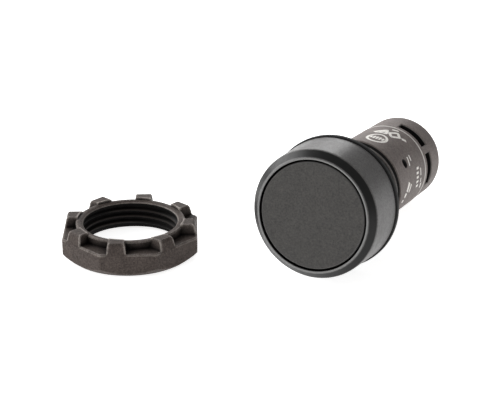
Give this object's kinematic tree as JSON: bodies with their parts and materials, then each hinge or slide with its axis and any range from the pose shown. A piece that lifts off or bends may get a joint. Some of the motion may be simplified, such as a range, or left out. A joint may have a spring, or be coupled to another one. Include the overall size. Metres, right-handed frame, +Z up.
{
  "type": "push button",
  "caption": "Compact flush push button: a round cap in a bezel springs back on a threaded sleeve body with wire windows and driver holes; its castellated nut lies beside it.",
  "frame": {"origin": "on the button's axis, in the plane where the gasket meets the panel", "axes": "+Z up from the surface the button lies on, +Y along the lying button towards its rear, +X to the side its terminals face"},
  "size_m": [0.0747, 0.0731, 0.0299],
  "materials": {
    "cap": "fine matte texture",
    "bezel": "satin moulded",
    "housing": "matte moulded, glass filled",
    "nut": "matte moulded, worn edges",
    "rubber": "matte",
    "natural_plastic": "unpigmented moulding",
    "red_plastic": "moulded",
    "spring_steel": "drawn wire",
    "plated_steel": "zinc plated",
    "contact_copper": "stamped strip",
    "silver": "polished"
  },
  "bodies": {
    "housing": {"sleeve_housing": "housing", "bezel_ring": "bezel", "panel_gasket": "rubber", "diaphragm_seal": "rubber", "return_spring": "spring_steel", "contact_base": "natural_plastic", "fixed_contact_left": "contact_copper", "fixed_contact_right": "contact_copper", "fixed_tips": "silver", "rear_cover": "housing"},
    "button": {"button_cap": "cap", "plunger": "natural_plastic", "contact_carrier": "red_plastic", "contact_spring": "spring_steel"},
    "bridge": {"contact_bridge": "contact_copper", "bridge_tips": "silver"},
    "clamp_left": {"clamp_plate_left": "plated_steel"},
    "clamp_right": {"clamp_plate_right": "plated_steel"},
    "screw_left": {"terminal_screw_left": "plated_steel"},
    "screw_right": {"terminal_screw_right": "plated_steel"},
    "nut": {"mounting_nut": "nut"}
  },
  "joints": [
    {"name": "push", "type": "slide", "parent": "housing", "child": "button", "axis": [0, 0.994, -0.1092], "range_m": [0, 0.0045], "stiffness_N_per_m": 700, "springref_m": -0.004, "deforming": ["return_spring", "diaphragm_seal", "contact_spring"]},
    {"name": "bridge_travel", "type": "slide", "parent": "housing", "child": "bridge", "axis": [0, 0.994, -0.1092], "range_m": [0, 0.0027]},
    {"name": "clamp_left_travel", "type": "slide", "parent": "housing", "child": "clamp_left", "axis": [0, -0.994, 0.1092], "range_m": [0, 0.0018]},
    {"name": "screw_left_turn", "type": "hinge", "parent": "clamp_left", "child": "screw_left", "pos_m": [0.00159, 0.03043, 0.00227], "axis": [0, -0.994, 0.1092], "range_deg": [0, 1080]},
    {"name": "clamp_right_travel", "type": "slide", "parent": "housing", "child": "clamp_right", "axis": [0, -0.994, 0.1092], "range_m": [0, 0.0018]},
    {"name": "screw_right_turn", "type": "hinge", "parent": "clamp_right", "child": "screw_right", "pos_m": [0.00565, 0.02968, -0.00458], "axis": [0, -0.994, 0.1092], "range_deg": [0, 1080]},
    {"name": "nut_lift", "type": "slide", "parent": "housing", "child": "nut", "axis": [0, 0, 1], "range_m": [0, 0.04]}
  ],
  "couplings": [
    {"joint": "bridge_travel", "follows": "push", "ratio": 0.6},
    {"joint": "screw_left_turn", "follows": "clamp_left_travel", "rad_per_m": 10472},
    {"joint": "screw_right_turn", "follows": "clamp_right_travel", "rad_per_m": 10472}
  ]
}
